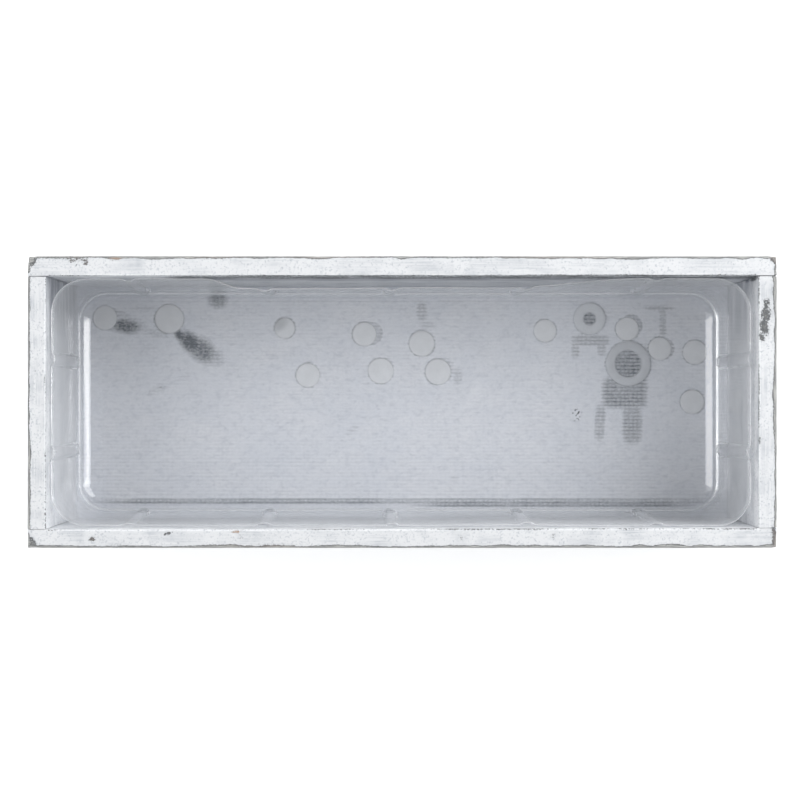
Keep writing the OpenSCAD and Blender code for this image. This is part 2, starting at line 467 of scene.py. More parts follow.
def side_wear(points, grain, seed):
    """Rubbed patches on the tall faces, long in the direction of the grain, and a band of painted shade
    inside, high up along the back board, drawn as half-worn paint."""
    below = smooth(points[:, 2], BOX_TOP - 2, BOX_TOP - 12)
    rubbed = smooth(fractal(points, grain, 4, seed), 0.25, 0.85)
    inside = np.all(abs(points[:, :2]) < INNER + 1, axis=1)
    high = smooth(points[:, 2], BOX_TOP - 42, BOX_TOP - 22)
    high = high * smooth(points[:, 2], BOX_TOP - 0.3, BOX_TOP - 1.5)
    strip = smooth(points[:, 1], INNER[1] - 4, INNER[1] - 1) * high
    strip *= 0.35 + 0.65 * smooth(points[:, 0], -140, -118)
    # Painted shade: a darker band high up on the back board's inner face, drawn as half-worn paint.
    shade_strip = inside * SHADE_STRIP_WEAR * strip
    return np.maximum(RUBBED_WEAR * rubbed * below, shade_strip * (1 + 0.25 * fractal(points, 9, 3, seed + 1)))


def inner_painted_shade(points, seed):
    """Painted shade inside the box, in streaks: on the end boards near the back, all the way up on the left
    one and only low down on the right one, and in a band below the back board's top edge."""
    x, y, z = points.T
    down = smooth(z, BOX_TOP - 0.3, BOX_TOP - 2)
    left = smooth(x, 2 - INNER[0], 1 - INNER[0]) * (0.3 * smooth(y, -20, 20) + 0.7 * smooth(y, 24, 62)) * down
    right = smooth(x, INNER[0] - 2, INNER[0] - 1) * smooth(y, 24, 54) * smooth(z, BOX_TOP - 12, BOX_TOP - 45)
    back = smooth(y, INNER[1] - 2, INNER[1] - 1) * smooth(z, BOX_TOP - 52, BOX_TOP - 34)
    back *= smooth(z, BOX_TOP - 4, BOX_TOP - 14) * smooth(x, -130, -110)
    streaky = np.clip(0.7 + 0.9 * noise(points, (14, 26, 4), seed), 0, 1)
    inside = np.all(abs(points[:, :2]) < INNER + 1, axis=1)
    return streaky * inside * (LEFT_SHADE * left + RIGHT_SHADE * right + BACK_SHADE * back)


# How deep the filled dimple over each brad is, how far it reaches, and the grid places around it.
DIMPLE_DEPTH, DIMPLE_REACH = 0.42, 1.15
DIMPLE_STOPS = [-1.4, -1.1, -0.85, -0.6, -0.3, 0, 0.3, 0.6, 0.85, 1.1, 1.4]
STEP = 0.01
GROOVE_LOW, GROOVE_HIGH = PANEL[0] - 0.2, PANEL[1] + 0.2
BRADS = [(points.min(0) + points.max(0)) / 2 for points in islands("corner_brads")]


def with_stops(stops, added, clear):
    """The stops with others added, less the old inner ones that come too near to those."""
    kept = [s for s in stops[1:-1] if min(abs(s - a) for a in added) > clear]
    return np.array(sorted([stops[0], stops[-1]] + kept + list(added)))


def steps_at(places):
    return [p + d for p in places for d in (-STEP, STEP)]


def groove_depth(points, lo, hi):
    """How far, along x and y, to move the points of the inner faces that lie in the panel's groove."""
    move = np.zeros_like(points)
    inside = np.all((points > GROOVE_LOW) & (points < GROOVE_HIGH), axis=1)
    for axis in (0, 1):
        for wall, face, floor in ((INNER[axis], lo, GROOVE_HIGH), (-INNER[axis], hi, GROOVE_LOW)):
            if abs(face[axis] - wall) < 0.5:
                on_face = inside & (abs(points[:, axis] - face[axis]) < STEP / 2)
                move[on_face, axis] = floor[axis] - face[axis]
    return move


def dimple_depth(points, lo, hi):
    """How far inward, along y, to move the points over the heads of the brads."""
    move = np.zeros_like(points)
    outward = 1 if lo[1] > 0 else -1
    face = hi[1] if outward > 0 else lo[1]
    on_face = abs(points[:, 1] - face) < STEP / 2
    for brad in BRADS:
        if brad[1] * outward > 0:
            away = np.hypot(points[:, 0] - brad[0], points[:, 2] - brad[2])
            depth = DIMPLE_DEPTH * smooth(away, DIMPLE_REACH, DIMPLE_REACH * 0.6)
            move[:, 1] -= outward * depth * on_face
    return move


def settled(points):
    """The long boards are a little uneven in thickness. Moves their inner faces, and what butts on them."""
    along = (points[:, 0] + OUTER[0]) / (2 * OUTER[0])
    thicker = np.where(points[:, 1] > 0, 0.95 - 0.3 * along, 0.05 + 0.75 * along)
    away = abs(points[:, 1])
    near = smooth(away, INNER[1] - 18, INNER[1]) * np.clip((OUTER[1] - away) / (OUTER[1] - INNER[1]), 0, 1)
    moved = points.copy()
    moved[:, 1] -= np.sign(points[:, 1]) * thicker * near
    return moved


def board(name, node, along, material, seed):
    """One board: its CAD box with worn arrises, a slightly uneven skin, the panel's groove, and the
    attributes that its paint reads."""
    lo, hi = node_box(node)
    stops = [stops_between(lo[axis], hi[axis], BOARD_STEP) for axis in (0, 1)] + [upright_stops(lo[2], hi[2])]
    stops[2] = with_stops(stops[2], steps_at((GROOVE_LOW[2], GROOVE_HIGH[2])), 0.3)
    if along == 0:
        for axis in (0, 2):
            added = sorted({round(b[axis] + d, 3) for b in BRADS for d in DIMPLE_STOPS})
            stops[axis] = with_stops(stops[axis], added, 0.3)
        stops[0] = with_stops(stops[0], steps_at((GROOVE_LOW[0], GROOVE_HIGH[0])), 0.2)
    flat, faces = box_lattice(stops)

    # Where a board meets another its edges stay square and tight.
    butted = np.array([0, PAST_JOINT, 0]) * along
    open_lo, open_hi = lo - butted, hi + butted
    inner_side = smooth(abs(flat[:, 1]), INNER[1] + 2.5, INNER[1] + 1)
    joint = (1 - along) * inner_side * smooth(abs(flat[:, 0]), INNER[0] - 1, INNER[0] + 0.5)

    bare_or_shaded, brown = mark_wear(flat)
    radius = ARRIS_RADIUS + 0.35 * noise(flat, 9, seed) + 0.3 * noise(flat, 3.1, seed + 1) + 0.9 * bare_or_shaded
    radius = np.clip(radius, ARRIS_LEAST, ARRIS_MOST)
    points = rounded(flat, open_lo, open_hi, radius * (1 - 0.85 * joint))
    inward = (lo + hi) / 2 - points
    inward /= np.maximum(np.abs(inward), 1e-6)
    facing = np.minimum(flat - lo, hi - flat) < 1e-6
    grain = [70 if axis == along else 7 for axis in range(3)]
    dip = 0.07 * (1 + fractal(flat, grain, 3, seed + 2)) + 0.04 * (1 + noise(flat, 2.3, seed + 3))
    dip = dip + 0.3 * bare_or_shaded
    groove = groove_depth(flat, lo, hi)
    points = points + facing * inward * dip[:, None] * (abs(groove).sum(1) == 0)[:, None] + groove
    if along == 0:
        points = points + dimple_depth(flat, lo, hi)
    obj = make_mesh(name, settled(points), faces, material)

    edge = edge_distance(flat, open_lo, open_hi)
    outer = smooth(np.maximum(abs(flat[:, 0]) - OUTER[0], abs(flat[:, 1]) - OUTER[1]), -5, -4)
    stretch = smooth(fractal(flat, 30, 3, seed + 6), -0.5, 0.5)
    ragged = 1 + 0.8 * fractal(flat, 7, 3, seed + 4)
    width = (0.5 + (OUTER_WEAR[node] - 0.5) * outer) * (0.5 + 0.8 * stretch) * ragged
    depth = (0.30 + 0.22 * stretch) * (1 - outer) + (0.84 + 0.2 * stretch) * outer
    wear = (1 - joint) * depth * smooth(edge, width + 1.1, width * 0.5)
    wear = np.maximum(wear, bare_or_shaded)
    wear = np.maximum(wear, side_wear(flat, [90 if axis == along else 6 for axis in range(3)], seed + 5))
    add_attribute(obj, "wear", wear)
    add_attribute(obj, "brown", brown)
    inside = np.all(abs(flat[:, :2]) < INNER + 1, axis=1)
    add_attribute(obj, "side", smooth(flat[:, 2], BOX_TOP - 0.5, BOX_TOP - 4) * (1 - inside))
    # Painted light: the inner faces are whiter towards the top, fading out about 90 mm down.
    add_attribute(obj, "painted_light", inside * smooth(flat[:, 2], BOX_TOP - 90, BOX_TOP - 14))
    # Painted shade in the inner corners near the back and in a band below the back board's top edge.
    add_attribute(obj, "painted_shade", inner_painted_shade(flat, seed + 7))
    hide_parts(node)
    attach(obj, "wooden_box")


board("front_board_worn", "front_board", 0, LONG_WASH, 11)
board("back_board_worn", "back_board", 0, LONG_WASH, 23)
board("left_end_board_worn", "left_end_board", 1, END_WASH, 37)
board("right_end_board_worn", "right_end_board", 1, END_WASH, 53)


# ---- Floor panel ----

# The screen texture pressed into the hardboard repeats at this pitch along x and y, and is this deep.
# The panel's face sways by a little too.
SCREEN_PITCH = np.array([2.5, 2.1])
STEPS_PER_PITCH = 3
SCREEN_DEPTH, PANEL_SWAY = 0.16, 0.08

# Thin patches in the panel's paint, as [x, y, half length, half width, turn in degrees, how bare, how
# square]. 2 gives an ellipse and higher numbers come nearer to a rectangle.
THIN_PATCHES = [
    [-129.4, 38.6, 4.0, 2.6, -44, 1.9, 2],
    [-123.6, 34.6, 6.8, 4.8, -44, 2.0, 2],
    [-117.5, 30.4, 9.0, 6.2, -36, 1.5, 2],
    [-112.5, 27.2, 9, 6.0, -30, 0.7, 2],
    [-107.6, 60.2, 5.6, 5.6, 10, 1.3, 2],
    [-107, 55, 7, 3, 0, 0.3, 2],
    [-151, 54.5, 12, 2.2, 0, 0.4, 2],
    [-161.6, 44.2, 8.4, 4.0, -8, 1.7, 2],
    [-158, 45, 10, 5.0, -8, 0.6, 2],
    [-146, 40.5, 15, 3, -14, 0.45, 2],
    [11.6, 53, 3.4, 6.5, 0, 0.55, 3],
    [14, 45, 6, 2, 0, 0.45, 2],
    [152.3, 46.5, 2.2, 9.5, 0, 0.62, 4],
    [150, 54.6, 9, 1.6, 0, 0.6, 3],
    [110.2, 36.0, 11.4, 3.4, 0, 0.62, 5],
    [101.2, 30, 2.6, 5, 0, 0.55, 4],
    [116.6, 30.6, 2.8, 4, 0, 0.58, 4],
    [130, 5.5, 13.2, 9.4, 0, 0.90, 6],
    [115.6, -12, 3.2, 11, -4, 0.66, 4],
    [134.4, -13, 5.8, 12, 0, 0.80, 4],
    [32.5, 15, 3, 6, 0, 0.45, 3],
    [-30, -17, 8, 2.6, 35, 0.36, 2],
    [-36, -10, 5, 4, 0, 0.25, 2],
    [31, -44.5, 3.5, 2.2, 0, 0.4, 2],
    [-143, 7.5, 9, 3, 20, 0.42, 2],
    [-141, 8.5, 1, 1, 0, 0.8, 2],
    [-128, 14, 9, 2.5, 28, 0.3, 2],
    [-6, 40, 5, 2, 0, 0.3, 2],
    [50, 16, 5, 5, 0, 0.26, 2],
    [64, 10, 4, 5, 0, 0.24, 2],
    # These three long rows darken a line along the liner's front foot: painted shade.
    [0, -58.0, 178, 1.7, 0, 0.74, 6],
    [-90, -58.4, 90, 1.4, 0, 0.85, 6],
    [88, -60.0, 80, 1.6, 0, 0.85, 6],
    [-30, 58.6, 150, 1.0, 0, 0.32, 6],
]

# Where the panel is stained evenly, so that the screen hardly shows: x, y, half length, half width, turn.
STAINED = [(-122, 33, 14, 9, -36), (-161, 43, 10, 6, -10), (-108, 60, 8, 8, 0)]

# A cluster of dots where the paint pulled off the screen's high points: x, y and reach.
DOTS = (101.7, -7.7, 4.2)

# Each disc and ring kept the paint off one side of itself. Its centre and radius come from the CAD solids,
# and these are its x and y, by which it is found, how far the bare crescent reaches along x and y, and how
# bare that is.
CRESCENTS = [
    (-173.5, 49, 10, -3, 0.8),
    (-136, 48.5, 2, -2, 0.35),
    (-68.5, 43, -1.5, 2.5, 0.3),
    (-55, 15.5, 2.6, 0.8, 0.4),
    (-22, 39.5, 4.2, 0.4, 1.0),
    (-12.5, 18, 0.4, 2.4, 0.45),
    (11.5, 34, 1, 2.6, 0.5),
    (21, 17.5, 3, 1.4, 0.55),
    (83.5, 41.5, 1.8, 0.8, 0.35),
    (109.5, 48.5, 0.6, -0.8, 0.7),
    (131.5, 42.5, 2.4, 2.0, 1.25),
    (132, 22.3, 0.3, -2.0, 0.95),
    (150.5, 31, 2.2, 0.2, 1.2),
    (171, 29, 1.2, 0.5, 0.2),
    (169.5, 0, 1.2, -0.6, 0.15),
]


def rounds_of(node):
    """The x, y, outer radius and lowest hole radius (0 with no hole) of each round solid of a node."""
    found = []
    for points in islands(node):
        x, y = (points.min(0) + points.max(0))[:2] / 2
        away = np.hypot(points[:, 0] - x, points[:, 1] - y)
        found.append((x, y, away.max(), away.min() if away.min() > 1 else 0.0))
    return sorted(found)


DISCS = rounds_of("floor_discs")
RINGS = rounds_of("small_ring") + rounds_of("large_ring")


def crescent_bare(points):
    """The thin paint beside each disc and ring, on the side that the paint didn't reach, the gap around each
    ring and the unpainted panel in its hole."""
    bare_or_shaded = np.zeros(len(points))
    outline = 0.5 + 0.3 * noise(points, (6, 6, 6), 77)
    for x, y, radius, hole in DISCS + RINGS:
        _, _, reach_x, reach_y, depth = min(CRESCENTS, key=lambda c: math.hypot(c[0] - x, c[1] - y))
        reach = np.array([reach_x, reach_y], float)
        offset = points[:, :2] - (x, y)
        from_centre = np.linalg.norm(offset, axis=1)
        t = np.clip(offset @ reach / (reach @ reach), 0, 1)
        away = np.linalg.norm(offset - t[:, None] * reach, axis=1)
        band = smooth(away, radius + 0.7, radius - 0.8) * smooth(from_centre, radius - 1, radius)
        bare_or_shaded = np.maximum(bare_or_shaded, depth * band * smooth(t, 0, 0.3) * (1 - 0.4 * t))
        if hole:
            around = smooth(abs(from_centre - radius - 0.3), 1.0, 0.2)
            bare_or_shaded = np.maximum(bare_or_shaded, outline * around)
            bare_or_shaded = np.maximum(bare_or_shaded, 1.05 * smooth(from_centre, hole + 0.3, hole - 0.4))
    return bare_or_shaded


def screen_lines(points):
    """1 on the grooves of the screen texture along x, and 1 on those along y."""
    phase = points[:, :2] / SCREEN_PITCH
    near = np.abs(phase - np.round(phase)) * 2
    return smooth(near[:, 1], 0.55, 0.1), smooth(near[:, 0], 0.5, 0.1)


def panel_stops(axis):
    """Grid places along one axis: three to each pitch inside the walls, and the tucked-in edge."""
    step = SCREEN_PITCH[axis] / STEPS_PER_PITCH
    count = int(INNER[axis] / step)
    inside = np.arange(-count, count + 1) * step
    return np.concatenate([[PANEL[0][axis]], inside, [PANEL[1][axis]]])


def slab_with_top(name, xs, ys, heights, bottom, material):
    """A closed slab: a grid on top at the given heights, plain sides and one face below."""
    nx, ny = len(xs), len(ys)
    grid_x, grid_y = np.meshgrid(xs, ys, indexing="ij")
    top = np.stack([grid_x.ravel(), grid_y.ravel(), heights], axis=-1)
    ids = np.arange(nx * ny).reshape(nx, ny)
    corners = [ids[:-1, :-1], ids[1:, :-1], ids[1:, 1:], ids[:-1, 1:]]
    faces = np.stack(corners, axis=-1).reshape(-1, 4).tolist()
    rim = list(ids[:, 0]) + list(ids[-1, 1:]) + list(ids[-2::-1, -1]) + list(ids[0, -2:0:-1])
    under = top[rim].copy()
    under[:, 2] = bottom
    first = len(top)
    for k in range(len(rim)):
        after = (k + 1) % len(rim)
        faces.append([rim[after], rim[k], first + k, first + after])
    faces.append([first + k for k in reversed(range(len(rim)))])
    return make_mesh(name, np.concatenate([top, under]), faces, material)


def painted_hardboard():
    """Pale paint over a dark pressed screen texture, thinner where its attribute says so. That attribute also
    darkens a line along the liner's front foot as painted shade.
    """
    n = Nodes("painted_hardboard")
    bare_or_shaded = n.attribute("bare_or_shaded")
    lines = n.attribute("groove")
    cloud = n.noise((26, 20, 20), 4.0, 0.6)
    flecks = n.noise((1.2, 1.0, 1.2), 3.0, 0.7)
    dashes = n.noise((2.2, 1.0, 2), 2.0, 0.5)
    brushed = n.noise((7, 1.3, 5), 4.0, 0.65)
    held = n.add_up((lines, 0.60), (n.ramp(dashes, 0.30, 0.70), 0.26), (n.ramp(flecks, 0.36, 0.70), 0.26))
    shows = n.ramp(n.math("MULTIPLY", bare_or_shaded, n.math("ADD", 0.40, held)), 0.20, 1.20)
    dots = n.math("MULTIPLY", n.attribute("dots"), n.ramp(n.noise((1.5, 1.7, 2), 1.0, 0.4), 0.58, 0.64))
    paint = n.mix(n.ramp(cloud, 0.35, 0.7), PANEL_PAINT, PANEL_PAINT_FRESH)
    lined = n.add_up((lines, 0.45), (n.ramp(brushed, 0.42, 0.68), 0.4))
    lined = n.math("MULTIPLY", lined, n.math("ADD", 0.13, n.scaled(n.ramp(cloud, 0.4, 0.65), 0.15)))
    lined = n.math("ADD", lined, n.scaled(n.ramp(flecks, 0.48, 0.72), 0.2))
    lined = n.math("ADD", lined, n.scaled(n.ramp(n.noise((3.2, 2.0, 3), 3.0), 0.50, 0.70), 0.2))
    paint = n.mix(lined, paint, PANEL_PAINT_THIN)
    colour = n.mix(n.math("MAXIMUM", n.scaled(shows, 0.93), dots), paint, HARDBOARD)
    values = [
        ("Base Color", colour),
        ("Roughness", n.ramp(flecks, -0.6, 1.3)),
        ("Specular IOR Level", 0.3),
        ("Normal", n.bump(n.math("SUBTRACT", flecks, lines), 0.12, 0.5)),
    ]
    return n.output(n.add("ShaderNodeBsdfPrincipled", values).outputs[0])


def floor_panel():
    """The panel with its pressed screen, and the attributes that its paint reads."""
    xs, ys = panel_stops(0), panel_stops(1)
    grid_x, grid_y = np.meshgrid(xs, ys, indexing="ij")
    points = np.stack([grid_x.ravel(), grid_y.ravel(), np.zeros(grid_x.size)], axis=-1)
    across, down = screen_lines(points)
    filled = 0.5 + 0.5 * noise(points, (9, 7, 9), 71)
    groove = np.maximum(across, 0.3 * down) * (0.35 + 0.65 * filled)
    sway = PANEL_SWAY * fractal(points, (60, 45, 60), 2, 73) - PANEL_SWAY
    inside = (abs(points[:, 0]) < INNER[0]) & (abs(points[:, 1]) < INNER[1])
    heights = PANEL_TOP + inside * (sway - SCREEN_DEPTH * groove)
    obj = slab_with_top("floor_panel_screened", xs, ys, heights, PANEL[0][2], painted_hardboard())
    patches = np.zeros(len(points))
    for x, y, half_x, half_y, degrees, depth, power in THIN_PATCHES:
        share = ellipse(points, x, y, half_x, half_y, degrees, 1.5 / power, power)
        patches = np.maximum(patches, depth * share)
    for place in STAINED:
        groove = groove * (1 - 0.75 * ellipse(points, *place))
    bare_or_shaded = np.maximum(patches, crescent_bare(points))
    extra = len(obj.data.vertices) - len(points)
    add_attribute(obj, "bare_or_shaded", np.concatenate([bare_or_shaded, np.zeros(extra)]))
    add_attribute(obj, "groove", np.concatenate([groove, np.zeros(extra)]))
    dots = smooth(np.hypot(points[:, 0] - DOTS[0], points[:, 1] - DOTS[1]), DOTS[2], DOTS[2] * 0.6)
    add_attribute(obj, "dots", np.concatenate([dots, np.zeros(extra)]))
    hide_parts("floor_panel")
    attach(obj, "wooden_box")


floor_panel()


# ---- Discs and rings on the panel ----

ROUND_STEPS = 72
# How far the rounds reach into the panel's face, and how far the paint around a disc hides its height.
ROUND_BED, DISC_SUNK = 0.1, 0.78
DISC_TINT = (0.86, 0.872, 0.89, 1)
RING_TINTS = (0.77, 0.79, 0.82, 1), (0.66, 0.68, 0.71, 1)


def lathed(profile, x, y, closed):
    """Turns a profile of (radius, height) points about an upright axis at (x, y). closed joins its ends."""
    angles = np.arange(ROUND_STEPS) * 2 * math.pi / ROUND_STEPS
    points = [(x + r * math.cos(a), y + r * math.sin(a), z) for r, z in profile for a in angles]
    rows = len(profile)
    faces = []
    for k in range(rows if closed else rows - 1):
        for i in range(ROUND_STEPS):
            j, up = (i + 1) % ROUND_STEPS, (k + 1) % rows
            first, above = k * ROUND_STEPS, up * ROUND_STEPS
            faces.append([first + i, first + j, above + j, above + i])
    if not closed:
        faces.append([i for i in reversed(range(ROUND_STEPS))])
        faces.append([(rows - 1) * ROUND_STEPS + i for i in range(ROUND_STEPS)])
    return points, faces


def painted_round(name, tint):
    """The same pale paint over a smooth round. Its attribute darkens an unpainted patch on one disc, and the
    rings' sides as painted shade.
    """
    n = Nodes(name)
    cloud = n.noise((5, 5, 5), 3.0)
    flecks = n.noise((0.8, 0.8, 0.8), 3.0, 0.6)
    paint = n.mix(n.ramp(cloud, 0.3, 0.75), tint, tuple(0.92 * c for c in tint[:3]) + (1,))
    colour = n.mix(n.scaled(n.attribute("bare_or_shaded"), 0.85), paint, STAIN_AND_SHADE_GREY)
    values = [
        ("Base Color", colour),
        ("Roughness", n.ramp(flecks, -0.8, 1.4)),
        ("Specular IOR Level", 0.4),
        ("Normal", n.bump(flecks, 0.05, 0.4)),
    ]
    return n.output(n.add("ShaderNodeBsdfPrincipled", values).outputs[0])


def bundle(name, pieces, material):
    """One mesh from several (points, faces) pieces."""
    points, faces = [], []
    for more_points, more_faces in pieces:
        faces += [[i + len(points) for i in f] for f in more_faces]
        points += list(more_points)
    return make_mesh(name, points, faces, material)


def disc_profile(radius, low, high):
    """A thin disc whose edge the paint has filled, so that it runs out softly onto the panel."""
    rise = high - low
    shares = [(0.3, 1), (0.5, 0.97), (0.65, 0.89), (0.78, 0.73), (0.88, 0.52), (0.95, 0.3), (1, 0)]
    return [(0.4, high)] + [(radius * part, low + rise * share) for part, share in shares]


def ring_profile(radius, hole, low, high):
    """A flat ring with its two upper edges rounded off."""
    edge = 0.3
    near = edge * 0.3
    outer = [(radius, low), (radius, high - edge), (radius - near, high - near), (radius - edge, high)]
    inner = [(hole + edge, high), (hole + near, high - near), (hole, high - edge), (hole, low)]
    return outer + inner


def rounds():
    """The discs and both rings, lathed on the places of their CAD solids."""
    low, high = PANEL_TOP - ROUND_BED, node_box("floor_discs")[1][2]
    discs = [lathed(disc_profile(r, low, high - DISC_SUNK)[::-1], x, y, False) for x, y, r, _ in DISCS]
    obj = bundle("floor_discs_painted", discs, painted_round("disc_paint", DISC_TINT))
    points = np.array([v.co for v in obj.data.vertices]) / MM
    add_attribute(obj, "bare_or_shaded", 0.4 * ellipse(points, -71.5, 45.2, 4.4, 3.2, 40, 0.6))
    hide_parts("floor_discs")
    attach(obj, "wooden_box")
    for node, tint, (x, y, r, hole) in zip(("small_ring", "large_ring"), RING_TINTS, RINGS):
        paint = painted_round(node + "_paint", tint)
        obj = bundle(node + "_painted", [lathed(ring_profile(r, hole, low, high), x, y, True)], paint)
        points = np.array([v.co for v in obj.data.vertices]) / MM
        # Painted shade: the ring's sides below its top edge are darker.
        add_attribute(obj, "bare_or_shaded", 0.5 * smooth(points[:, 2], high - 0.2, high - 0.6))
        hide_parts(node)
        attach(obj, "wooden_box")


rounds()


# ---- Brads ----


def brad_steel():
    """Dull nail steel."""
    n = Nodes("brad_steel")
    flecks = n.noise((0.4, 0.4, 0.4), 3.0)
    values = [
        ("Base Color", n.mix(n.ramp(flecks, 0.35, 0.65), grey(0.55), BRIGHT_STEEL)),
        ("Metallic", 0.6),
        ("Roughness", n.ramp(flecks, -0.5, 1.5)),
    ]
    return n.output(n.add("ShaderNodeBsdfPrincipled", values).outputs[0])


def paint_node(node, material):
    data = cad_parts[node].data
    data.materials.clear()
    data.materials.append(material)


paint_node("corner_brads", brad_steel())


# ---- Liner ----

LINER_SHEET = 0.5
LINER_HEIGHT = LINER[1][2] - LINER[0][2]
# Half the rim's length and width, the furthest that its waves may reach, and the corners' radii.
RIM_HALF = np.array([188.4, 66.4])
RIM_LIMIT = np.array([189.3, 66.8])
RIM_CORNER, FLOOR_CORNER = 18.5, 12
# How far in the wall leans, the ledge stands and the fillet runs, from the rim's line to the floor.
DRAFT_RUN = 2.2
LEDGE, LEDGE_TOP = 2.0, 9.4
FILLET_RADIUS, FILLET_FIRST, FILLET_LAST = 9.0, math.radians(10), math.radians(52)
FILLET_RUN = FILLET_RADIUS * (math.sin(FILLET_LAST) - math.sin(FILLET_FIRST)) + 0.2
FOOT = DRAFT_RUN + LEDGE + FILLET_RUN
RIM_ROLL = 5
# The ribs: their depth, half width, the height of their noses, and places along x and along y.
RIB_DEPTH, RIB_HALF_WIDTH, RIB_NOSE = 2.4, 4.2, 12.0
LONG_RIBS = [-147, -74, -5, 68, 138]
SHORT_RIBS = [23, -27.5]
SIDE_STEP, RIB_STEP, RIB_REACH = 2.7, 0.65, 6.5
CORNER_STEPS = 22
# How far the back wall sags, and how far the foot stands to the left and the rim less so.
BACK_SAG = 5.2
FOOT_SHIFT, RIM_RETURN = -2.4, 1.8
# How far in from the foot's line the rings of the liner's floor lie.
FLOOR_INSETS = [1.0, 2.5, 5, 9, 15, 24, 36, 50, 56]


def side_shares(centres, reach):
    """Places along a side as shares of its half length, from -1 to just short of 1, closer at its ribs."""
    fine = [c + d for c in centres for d in np.arange(-RIB_REACH, RIB_REACH, RIB_STEP)]
    coarse = [p for p in np.arange(-reach, reach - 1, SIDE_STEP) if min(abs(p - f) for f in fine) > RIB_STEP]
    return np.array(sorted(coarse + fine)) / reach


def loop_frame():
    """For each point around the liner: the quarter turn it belongs to, 1 if it is on that turn's corner or
    0 if on its side, and its share of that stretch. Starts at the front side's left end and runs
    anticlockwise."""
    rows = []
    for turn in range(4):
        axis, sign = turn % 2, 1 if turn < 2 else -1
        centres = [sign * c for c in (LONG_RIBS, SHORT_RIBS)[axis]]
        rows += [(turn, 0, share) for share in side_shares(centres, RIM_HALF[axis] - RIM_CORNER)]
        rows += [(turn, 1, i / CORNER_STEPS) for i in range(CORNER_STEPS)]
    return np.array(rows, float)


LOOP = loop_frame()


def loop_points(half, corner):
    """Places and outward directions around a rounded rectangle, matching LOOP."""
    turn, on_corner, share = LOOP[:, 0], LOOP[:, 1] > 0, LOOP[:, 2]
    odd = turn % 2 == 1
    reach = np.where(odd, half[1], half[0]) - corner
    depth = np.where(odd, half[0], half[1])
    sweep = np.where(on_corner, share * math.pi / 2, 0)
    u = np.where(on_corner, reach + corner * np.sin(sweep), reach * share)
    v = np.where(on_corner, depth - corner + corner * np.cos(sweep), depth)
    nu, nv = np.sin(sweep), np.cos(sweep)
    a = turn * math.pi / 2
    ca, sa = np.cos(a), np.sin(a)
    place = np.stack([u * ca + v * sa, u * sa - v * ca], axis=-1)
    outward = np.stack([nu * ca + nv * sa, nu * sa - nv * ca], axis=-1)
    return place, outward


def liner_profile():
    """The wall as (inset from the rim's line, height, how white the crease is, partly standing in for its
    highlight), from the floor's edge up. The fillet turns slowly where it catches the light, then quickly up
    to the ledge."""
    start = math.sin(FILLET_FIRST), math.cos(FILLET_FIRST)
    arc = []
    for a in np.linspace(FILLET_FIRST, FILLET_LAST, 8):
        run, rise = FILLET_RADIUS * (math.sin(a) - start[0]), FILLET_RADIUS * (start[1] - math.cos(a))
        arc.append((FOOT - run, rise, 0))
    low = DRAFT_RUN + LEDGE
    turn = [(low + 0.08, arc[-1][1] + 0.25, 0.1), (low, arc[-1][1] + 0.7, 0)]
    ledge = [(low - 0.02, 6.4, 0), (low - 0.2, 7.1, 0.45), (low - 0.7, 7.5, 0.6), (low - 1.3, 7.7, 0.1)]
    ledge += [(low - 1.75, 7.9, 0.1), (low - 1.95, 8.4, 0.45), (DRAFT_RUN, LEDGE_TOP, 0)]
    wall_rise = LINER_HEIGHT - RIM_ROLL - LEDGE_TOP
    shares = np.concatenate([np.linspace(0.01, 0.1, 8), np.linspace(0.125, 1, 28)])
    wall = [(DRAFT_RUN * (1 - t), LEDGE_TOP + t * wall_rise, 0) for t in shares]
    rim = [(0.2, -4.4, 0.1), (0.1, -3.8, 0.4), (-0.2, -3.3, 0.5), (-0.25, -2.2, 0), (-0.2, -1.0, 0.1)]
    rim += [(-0.25, -0.5, 0.4), (-0.35, -0.15, 0.7), (-0.4, 0, 0.7)]
    return arc + turn + ledge + wall + [(inset, LINER_HEIGHT + z, white) for inset, z, white in rim]


def rib_push(place, height):
    """Where the ribs push the wall inward, from 0 to 1, and the crease around them. Each has a round nose
    just above the ledge."""
    drop = np.maximum(RIB_NOSE - height, 0)
    push, crease = np.zeros(len(place)), np.zeros(len(place))
    for half, centres, side, along in (
        (RIM_HALF[1], LONG_RIBS, 1, 0),
        (RIM_HALF[0], SHORT_RIBS, 0, 1),
    ):
        on_side = np.abs(place[:, side]) > half - 12
        for centre in centres:
            away = np.hypot(place[:, along] - centre, drop)
            push = np.maximum(push, on_side * smooth(away, RIB_HALF_WIDTH, RIB_HALF_WIDTH * 0.3))
            crease = np.maximum(crease, on_side * smooth(abs(away - RIB_HALF_WIDTH * 0.85), 1.1, 0.3))
    return push, crease


def back_bow(place, rise):
    """The back wall sags inward along its middle, most at the rim."""
    middle = smooth(place[:, 0], -106, -86) * smooth(place[:, 0], 128, 52)
    return BACK_SAG * middle * rise**1.4 * (place[:, 1] > RIM_HALF[1] - 14)


